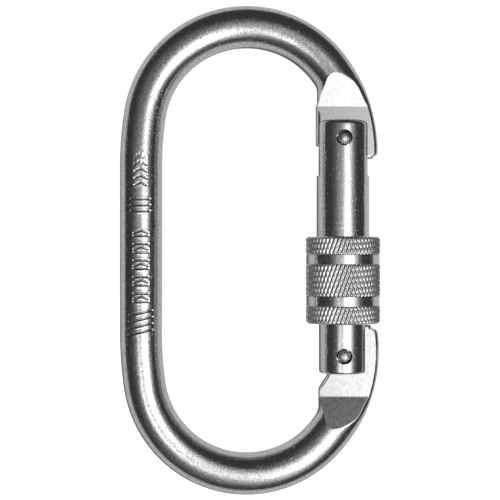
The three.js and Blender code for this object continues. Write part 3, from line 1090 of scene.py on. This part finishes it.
def gate_profile(sizes):
    """Heights and radii of the turned gate, from the foot up, with a relief weight for each."""
    radius = (GATE_HIGH[0] - GATE_LOW[0]) / 2
    foot_r = radius - sizes.foot_step
    rounding = sizes.end_rounding
    foot, top = GATE_LOW[2] - MIDDLE_Z, GATE_HIGH[2] - MIDDLE_Z
    step_z = LATCH_Z + FOOT_STEP_RISE
    profile = [(NEAR_AXIS, foot)]
    foot_edge = 0.6 * rounding
    profile += arc(foot_r - foot_edge, foot + foot_edge, foot_edge, -90, 0, 8)
    profile += [(foot_r, z) for z in evened((foot + foot_edge, step_z), 0.5 * MM)[1:]]
    profile += [(radius, step_z + sizes.foot_step)]
    thread = evened((step_z + 2 * sizes.foot_step, THREAD_TOP), sizes.thread_pitch / 10)
    profile += [(radius, z) for z in thread]
    profile += [(radius, z) for z in evened((THREAD_TOP, top - rounding), 0.5 * MM)[1:-1]]
    profile += arc(radius - rounding, top - rounding, rounding, 0, 90, 8)
    profile += [(NEAR_AXIS, top)]
    weights = []
    for _, z in profile:
        begun = smooth(thread[0], thread[0] + 1 * MM, z)
        weights.append(float(begun * (1 - smooth(THREAD_FADE, THREAD_TOP, z))))
    return profile, weights


def paint_recess_shade(piece, material, inner_r, outer_r):
    """Gives the walls round the rivets a dark material as painted shade, between two radii from their axes.
    """
    piece.data.materials.append(material)
    index = len(piece.data.materials) - 1
    for face in piece.data.polygons:
        x, _, z = face.center
        for centre_z in (PIVOT_Z, LATCH_Z):
            reach = math.hypot(x - GATE_X, z - MIDDLE_Z - centre_z)
            if inner_r < reach < outer_r and abs(face.normal.y) < 0.3:
                face.material_index = index


def recess_shade_finish():
    """Dark steel painted in as the shade that falls in the recesses round the rivets."""
    return bpy.data.materials.get("painted_recess_shade") or new_material(
        "painted_recess_shade", (0.1, 0.097, 0.09), 0.55
    )[0]


def make_gate(context):
    sizes, finish = context.scene.carabiner_gate, context.scene.carabiner_finish
    profile, weights = gate_profile(sizes)
    gate = add_piece("turned_gate", turned_mesh("turned_gate", profile, GATE_COLUMNS))
    material = turned_finish("turned_steel", finish.gate_colour, finish.gate_gloss, 0.25)
    gate.data.materials.append(material)
    raise_relief(
        gate,
        np.repeat(weights, GATE_COLUMNS),
        Axis_X=GATE_X,
        Starts=1.0,
        Lead=sizes.thread_pitch,
        Depth=sizes.thread_depth,
        Bridge=1.0,
        Crest=1.0,
        Finish=material,
    )
    half_slot = sizes.slot_width / 2
    top, foot = GATE_HIGH[2] - MIDDLE_Z, GATE_LOW[2] - MIDDLE_Z
    past = 12 * MM
    bore_r = sizes.bore_diameter / 2
    bore_foot = SPRING_LOW[2] - MIDDLE_Z - CLEARANCE
    cut(
        gate,
        [
            box_mesh(
                "hinge_slot",
                (GATE_X - past, -half_slot, top - sizes.hinge_slot_depth),
                (GATE_X + past, half_slot, top + past),
            ),
            box_mesh(
                "latch_slot",
                (GATE_X - HOOK_REACH - CLEARANCE, -half_slot, foot - past),
                (GATE_X + past, half_slot, LATCH_Z + LATCH_SLOT_RISE),
            ),
            turned_mesh("spring_bore", [(bore_r, bore_foot), (bore_r, top + past)], 96),
            cross_hole("hinge_hole", HOLE_R, past, PIVOT_Z),
            cross_hole("latch_hole", HOLE_R, past, LATCH_Z),
        ],
    )
    weld(gate)
    round_edges(gate, 0.1 * MM)
    # Painted shade: the walls of the rivet holes get a dark material.
    paint_recess_shade(gate, recess_shade_finish(), HOLE_R - 0.05 * MM, HOLE_R + 0.05 * MM)
    crisp(gate, 22)
    seat(gate, "gate", "turned_gate", "gate_body")


def dome_profile(radius, end):
    """Half of a rivet: its shank, then a narrower tip with a domed end."""
    tip_r, dome, tip = radius - 0.2 * MM, 0.42 * MM, 1 * MM
    cap_r = (tip_r**2 + dome**2) / (2 * dome)
    spread = math.degrees(math.asin(tip_r / cap_r))
    shank = [(radius, end - tip - 0.1 * MM), (radius - 0.1 * MM, end - tip), (tip_r, end - tip)]
    edge = [(tip_r, end - dome - 0.12 * MM)]
    return shank + edge + arc(0, end - cap_r, cap_r, 90 - spread, 90 - 0.2, 14)


def rivet_mesh(name, radius, end, z):
    """A rivet along Y with domed ends."""
    half = dome_profile(radius, end)
    return cross_mesh(name, [(r, -h) for r, h in half][::-1] + half, z, 72)


def make_rivets(context):
    finish = context.scene.carabiner_finish
    material = turned_finish("rivet_steel", finish.rivet_colour, 0.34, 0.2)
    for name, low, high, z in (
        ("hinge_rivet", HINGE_LOW, HINGE_HIGH, PIVOT_Z),
        ("latch_rivet", LATCH_LOW, LATCH_HIGH, LATCH_Z),
    ):
        radius, end = (high[0] - low[0]) / 2, high[1]
        piece = add_piece("domed_" + name, rivet_mesh("domed_" + name, radius, end, z))
        piece.data.materials.append(material)
        # Painted shade: the rivet's sides just inside the hole get a dark material.
        paint_recess_shade(piece, recess_shade_finish(), radius - 0.3 * MM, radius)
        crisp(piece, 50)
        seat(piece, "gate", "rivet_steel", name)


# ---- The locking sleeve ----

SLEEVE_WALL = 2.1 * MM
COUNTERBORE_WALL = 1.6 * MM
COUNTERBORE_DEPTH = 10.1 * MM
RIDGE_COLUMNS = 10  # points round the sleeve for each ridge of its knurl


def sleeve_profile(sizes):
    """Closed outline of the sleeve's wall, from the foot's inner edge round, with relief weights."""
    crest = (SLEEVE_HIGH[0] - SLEEVE_LOW[0]) / 2
    groove = crest - sizes.knurl_depth
    band = crest - sizes.band_depth
    bore, counterbore = crest - SLEEVE_WALL, crest - COUNTERBORE_WALL
    foot, top = SLEEVE_LOW[2] - MIDDLE_Z, SLEEVE_HIGH[2] - MIDDLE_Z
    row = sizes.knurl_pitch / 10
    edge = 0.12 * MM
    low_band = foot + sizes.end_knurl
    high_band = top - sizes.end_knurl - sizes.band_width
    rows = [(counterbore, foot + 0.25 * MM, 0), (counterbore + 0.25 * MM, foot, 0)]
    rows += [(groove - 0.15 * MM, foot, 0)]

    def knurl(low, high):
        made = [(groove, low, 0.0), (groove, low + edge, 0.55)]
        made += [(groove, z, 1.0) for z in evened((low + 3 * edge, high - 3 * edge), row)]
        return made + [(groove, high - edge, 0.55), (groove, high, 0.0)]

    def smooth_band(low):
        high = low + sizes.band_width
        return [(band, z, 0.0) for z in (low, low + edge, (low + high) / 2, high - edge, high)]

    rows += knurl(foot + 0.15 * MM, low_band)
    rows += smooth_band(low_band)
    rows += knurl(low_band + sizes.band_width, high_band)
    rows += smooth_band(high_band)
    rows += knurl(high_band + sizes.band_width, top - 0.15 * MM)
    rows += [(groove - 0.15 * MM, top, 0), (bore + 0.3 * MM, top, 0), (bore, top - 0.3 * MM, 0)]
    ledge = foot + COUNTERBORE_DEPTH
    rows += [(bore, ledge, 0), (counterbore, ledge - 0.4 * MM, 0)]
    return [(r, z) for r, z, _ in rows], [weight for _, _, weight in rows]


def make_sleeve(context):
    sizes, finish = context.scene.carabiner_sleeve, context.scene.carabiner_finish
    columns = sizes.ridges * RIDGE_COLUMNS
    profile, weights = sleeve_profile(sizes)
    mesh = turned_mesh("knurled_sleeve", profile, columns, closed_profile=True)
    sleeve = add_piece("knurled_sleeve", mesh)
    mesh.materials.append(
        turned_finish("sleeve_band_steel", finish.gate_colour, finish.gate_gloss, 0.3)
    )
    raise_relief(
        sleeve,
        np.repeat(weights, columns),
        Axis_X=GATE_X,
        Starts=float(sizes.ridges),
        Lead=sizes.knurl_pitch,
        Depth=sizes.knurl_depth,
        Bridge=0.25,
        Crest=0.97,
        Finish=knurled_finish(finish),
    )
    crisp(sleeve, 60)
    seat(sleeve, "sleeve", "knurled_sleeve", "lock_sleeve")


# ---- The push rod and its spring ----


def make_push_rod(context):
    finish = context.scene.carabiner_finish
    head_r = (ROD_HIGH[0] - ROD_LOW[0]) / 2
    foot, top = ROD_LOW[2] - MIDDLE_Z, ROD_HIGH[2] - MIDDLE_Z
    stem_r, head_t, edge = 1.2 * MM, 2.6 * MM, 0.25 * MM
    profile = [(NEAR_AXIS, foot)]
    profile += arc(stem_r - edge, foot + edge, edge, -90, 0, 4)
    profile += [(stem_r, top - head_t), (head_r - edge, top - head_t)]
    profile += [(head_r, top - head_t + edge)]
    profile += arc(head_r - edge, top - edge, edge, 0, 90, 4)
    profile += [(NEAR_AXIS, top)]
    rod = add_piece("headed_push_rod", turned_mesh("headed_push_rod", profile, 64))
    rod.data.materials.append(turned_finish("rod_steel", finish.rivet_colour, 0.22, 0.3))
    crisp(rod, 40)
    seat(rod, "rod", "rivet_steel", "push_rod")


SPRING_TURNS = 7
WIRE_R = 0.35 * MM


def spring_rings(coil_r, low, high):
    """Rings of points round a helix of wire."""
    steps, sides = SPRING_TURNS * 40, 14
    rings = []
    for step in range(steps + 1):
        along = step / steps
        angle = 2 * math.pi * SPRING_TURNS * along
        z = low + (high - low) * along
        outward, upward = np.array((math.cos(angle), math.sin(angle), 0)), np.array((0, 0, 1))
        centre = np.array((GATE_X, 0, z)) + coil_r * outward
        for side in range(sides):
            turn = 2 * math.pi * side / sides
            rings.append(centre + WIRE_R * (math.cos(turn) * outward + math.sin(turn) * upward))
    return np.array(rings), steps + 1, sides


def make_spring(context):
    finish = context.scene.carabiner_finish
    coil_r = (SPRING_HIGH[0] - SPRING_LOW[0]) / 2 - WIRE_R
    low, high = SPRING_LOW[2] - MIDDLE_Z + WIRE_R, SPRING_HIGH[2] - MIDDLE_Z - WIRE_R
    points, ring_count, sides = spring_rings(coil_r, low, high)
    mesh = mesh_from("coil_spring", points, tube_faces(ring_count, sides))
    spring = add_piece("coil_spring", mesh)
    spring.data.materials.append(turned_finish("spring_wire", finish.spring_colour, 0.28, 0.2))
    seat(spring, "gate", "spring_steel", "gate_spring")
    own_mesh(spring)


# ---- The stage ----


def make_camera(context):
    stage = context.scene.carabiner_stage
    camera = bpy.data.cameras.new("camera")
    camera.lens = camera.sensor_width * stage.camera_distance / stage.picture_width
    eye = bpy.data.objects.new("camera", camera)
    eye.location = (stage.centre_x, -stage.camera_distance, MIDDLE_Z + stage.centre_rise)
    eye.rotation_euler = (math.pi / 2, 0, 0)
    context.scene.collection.objects.link(eye)
    context.scene.camera = eye


def make_floor(context):
    stage = context.scene.carabiner_stage
    size = 3.0
    z = BAR_LOW[2] - stage.floor_drop
    mesh = bpy.data.meshes.new("floor")
    corners = [(-size, -size, z), (size, -size, z), (size, size, z), (-size, size, z)]
    mesh.from_pydata(corners, [], [(0, 1, 2, 3)])
    floor = add_piece("floor", mesh)
    material, _, _, shader = new_material("pale_floor", (0.9, 0.9, 0.9), 0.9)
    shader.inputs["Metallic"].default_value = 0
    shader.inputs["Emission Color"].default_value = (1, 1, 1, 1)
    shader.inputs["Emission Strength"].default_value = 1.0
    mesh.materials.append(material)
    floor.visible_glossy = False


def make_lamp(name, aim, radius, fade, brightness):
    """A tall soft lamp, brightest in its middle, aimed at the carabiner from beside the camera."""
    squeeze = 0.6
    sides, size = 48, 0.35
    mesh = bpy.data.meshes.new(name)
    turns = np.arange(sides) * 2 * math.pi / sides
    corners = [(size * math.cos(turn), size * math.sin(turn), 0) for turn in turns]
    mesh.from_pydata(corners, [], [tuple(range(sides))])
    lamp = add_piece(name, mesh)
    aim = Vector(aim)
    lamp.location = aim + Vector((0, 0, MIDDLE_Z))
    lamp.rotation_euler = (-aim).to_track_quat("Z", "Y").to_euler()
    lamp.visible_camera = False
    material = bpy.data.materials.new(name)
    material.use_nodes = True
    tree = material.node_tree
    tree.nodes.clear()
    sums = NodeSums(tree)
    place = sums.add("ShaderNodeTexCoord")
    reach = sums.add("ShaderNodeVectorMath")
    reach.operation = "LENGTH"
    oval = sums.add("ShaderNodeVectorMath")
    oval.operation = "MULTIPLY"
    oval.inputs[1].default_value = (1, squeeze, 1)
    tree.links.new(place.outputs["Object"], oval.inputs[0])
    tree.links.new(oval.outputs["Vector"], reach.inputs[0])
    past = sums.math("SUBTRACT", reach.outputs["Value"], radius)
    past = sums.math("DIVIDE", sums.math("MAXIMUM", past, 0.0), -fade)
    emission = sums.add("ShaderNodeEmission")
    strength = sums.math("MULTIPLY", sums.math("EXPONENT", past), brightness)
    tree.links.new(strength, emission.inputs["Strength"])
    both = sums.add("ShaderNodeAddShader")
    tree.links.new(emission.outputs[0], both.inputs[0])
    tree.links.new(sums.add("ShaderNodeBsdfTransparent").outputs[0], both.inputs[1])
    out = sums.add("ShaderNodeOutputMaterial")
    tree.links.new(both.outputs[0], out.inputs["Surface"])
    mesh.materials.append(material)


def make_studio(context):
    """Light from the world: a dim room in front, and a pale surround with a dark middle behind."""
    world = bpy.data.worlds.new("studio")
    context.scene.world = world
    world.use_nodes = True
    tree = world.node_tree
    tree.nodes.clear()
    sums = NodeSums(tree)
    link = tree.links.new
    place = sums.add("ShaderNodeTexCoord")

    def towards(direction):
        """Angle in degrees between the looked-at direction and a given one."""
        node = sums.add("ShaderNodeVectorMath")
        node.operation = "DOT_PRODUCT"
        link(place.outputs["Generated"], node.inputs[0])
        node.inputs[1].default_value = Vector(direction).normalized()
        angle = sums.math("ARCCOSINE", sums.math("MINIMUM", node.outputs["Value"], 0.99999))
        return sums.math("DEGREES", angle)

    def rising(value, low, high, strength):
        node = sums.add("ShaderNodeMapRange")
        node.interpolation_type = "SMOOTHSTEP"
        node.inputs["From Min"].default_value = low
        node.inputs["From Max"].default_value = high
        node.inputs["To Max"].default_value = strength
        link(value, node.inputs["Value"])
        return node.outputs["Result"]

    front = towards((0, -1, 0))
    lean = sums.math("MULTIPLY", towards((1, 0, 0.8)), 0.11)
    surround = rising(sums.math("ADD", front, lean), 104.0, 116.0, 0.52)
    behind = towards((-0.35, 1, -0.25))
    surround = sums.math("ADD", surround, rising(behind, 38.0, 14.0, -0.42))
    parts = sums.add("ShaderNodeSeparateXYZ")
    link(place.outputs["Generated"], parts.inputs[0])
    sideways = rising(sums.math("ABSOLUTE", parts.outputs["X"]), 0.9, 0.3, 0.14)
    glow = sums.math("MULTIPLY", sideways, rising(front, 88.0, 45.0, 1.0))
    glow = sums.math("MULTIPLY", glow, rising(parts.outputs["Z"], 0.75, 0.25, 1.0))
    room = sums.math("ADD", glow, 0.045)
    light = sums.math("ADD", room, surround)

    seen = sums.add("ShaderNodeLightPath")
    shown = sums.add("ShaderNodeMix")
    shown.data_type = "FLOAT"
    link(seen.outputs["Is Camera Ray"], shown.inputs["Factor"])
    link(light, shown.inputs[2])
    shown.inputs[3].default_value = 1.05
    background = sums.add("ShaderNodeBackground")
    background.inputs["Color"].default_value = (1, 1, 1, 1)
    link(shown.outputs[0], background.inputs["Strength"])
    out = sums.add("ShaderNodeOutputWorld")
    link(background.outputs[0], out.inputs["Surface"])


def make_stage(context):
    stage = context.scene.carabiner_stage
    context.scene.view_settings.view_transform = "Standard"
    make_camera(context)
    make_floor(context)
    make_lamp(
        "right_lamp", stage.lamp_place, stage.lamp_radius, stage.lamp_fade, stage.lamp_strength
    )
    make_lamp(
        "left_lamp", stage.second_place, stage.second_radius, stage.second_fade, stage.second_strength
    )
    make_studio(context)


# ---- The add-on ----


class CARABINER_OT_stage(bpy.types.Operator):
    """Set up the camera, the floor and the studio light"""

    bl_idname = "carabiner.stage"
    bl_label = "Stage"

    def execute(self, context):
        make_stage(context)
        return {"FINISHED"}


class CARABINER_OT_bar(bpy.types.Operator):
    """Make the bar with its hinge head, nose and stamped marks"""

    bl_idname = "carabiner.bar"
    bl_label = "Forged bar"

    def execute(self, context):
        make_bar(context)
        return {"FINISHED"}


class CARABINER_OT_gate(bpy.types.Operator):
    """Make the turned gate with its slots, bore and thread"""

    bl_idname = "carabiner.gate"
    bl_label = "Gate"

    def execute(self, context):
        make_gate(context)
        return {"FINISHED"}


class CARABINER_OT_rivets(bpy.types.Operator):
    """Make the hinge rivet and the latch rivet"""

    bl_idname = "carabiner.rivets"
    bl_label = "Rivets"

    def execute(self, context):
        make_rivets(context)
        return {"FINISHED"}


class CARABINER_OT_sleeve(bpy.types.Operator):
    """Make the knurled sleeve with its smooth bands"""

    bl_idname = "carabiner.sleeve"
    bl_label = "Locking sleeve"

    def execute(self, context):
        make_sleeve(context)
        return {"FINISHED"}


class CARABINER_OT_push_rod(bpy.types.Operator):
    """Make the headed rod that closes the gate"""

    bl_idname = "carabiner.push_rod"
    bl_label = "Push rod"

    def execute(self, context):
        make_push_rod(context)
        return {"FINISHED"}


class CARABINER_OT_spring(bpy.types.Operator):
    """Make the coil spring behind the push rod"""

    bl_idname = "carabiner.spring"
    bl_label = "Spring"

    def execute(self, context):
        make_spring(context)
        return {"FINISHED"}


STEPS = [
    CARABINER_OT_stage,
    CARABINER_OT_bar,
    CARABINER_OT_gate,
    CARABINER_OT_rivets,
    CARABINER_OT_sleeve,
    CARABINER_OT_push_rod,
    CARABINER_OT_spring,
]


class CARABINER_PT_pieces(bpy.types.Panel):
    """Lists the steps that make the carabiner"""

    bl_label = "Carabiner"
    bl_space_type = "VIEW_3D"
    bl_region_type = "UI"
    bl_category = "Carabiner"

    def draw(self, context):
        for operator in STEPS:
            self.layout.operator(operator.bl_idname)


def register():
    for name, group in SETTINGS.items():
        bpy.utils.register_class(group)
        setattr(bpy.types.Scene, name, bpy.props.PointerProperty(type=group))
    for kind in [*STEPS, CARABINER_PT_pieces]:
        bpy.utils.register_class(kind)


def unregister():
    for kind in [CARABINER_PT_pieces, *reversed(STEPS)]:
        bpy.utils.unregister_class(kind)
    for name, group in reversed(SETTINGS.items()):
        delattr(bpy.types.Scene, name)
        bpy.utils.unregister_class(group)


def main():
    register()
    for operator in STEPS:
        getattr(bpy.ops.carabiner, operator.bl_idname.split(".")[1])()


if __name__ == "__main__":
    main()
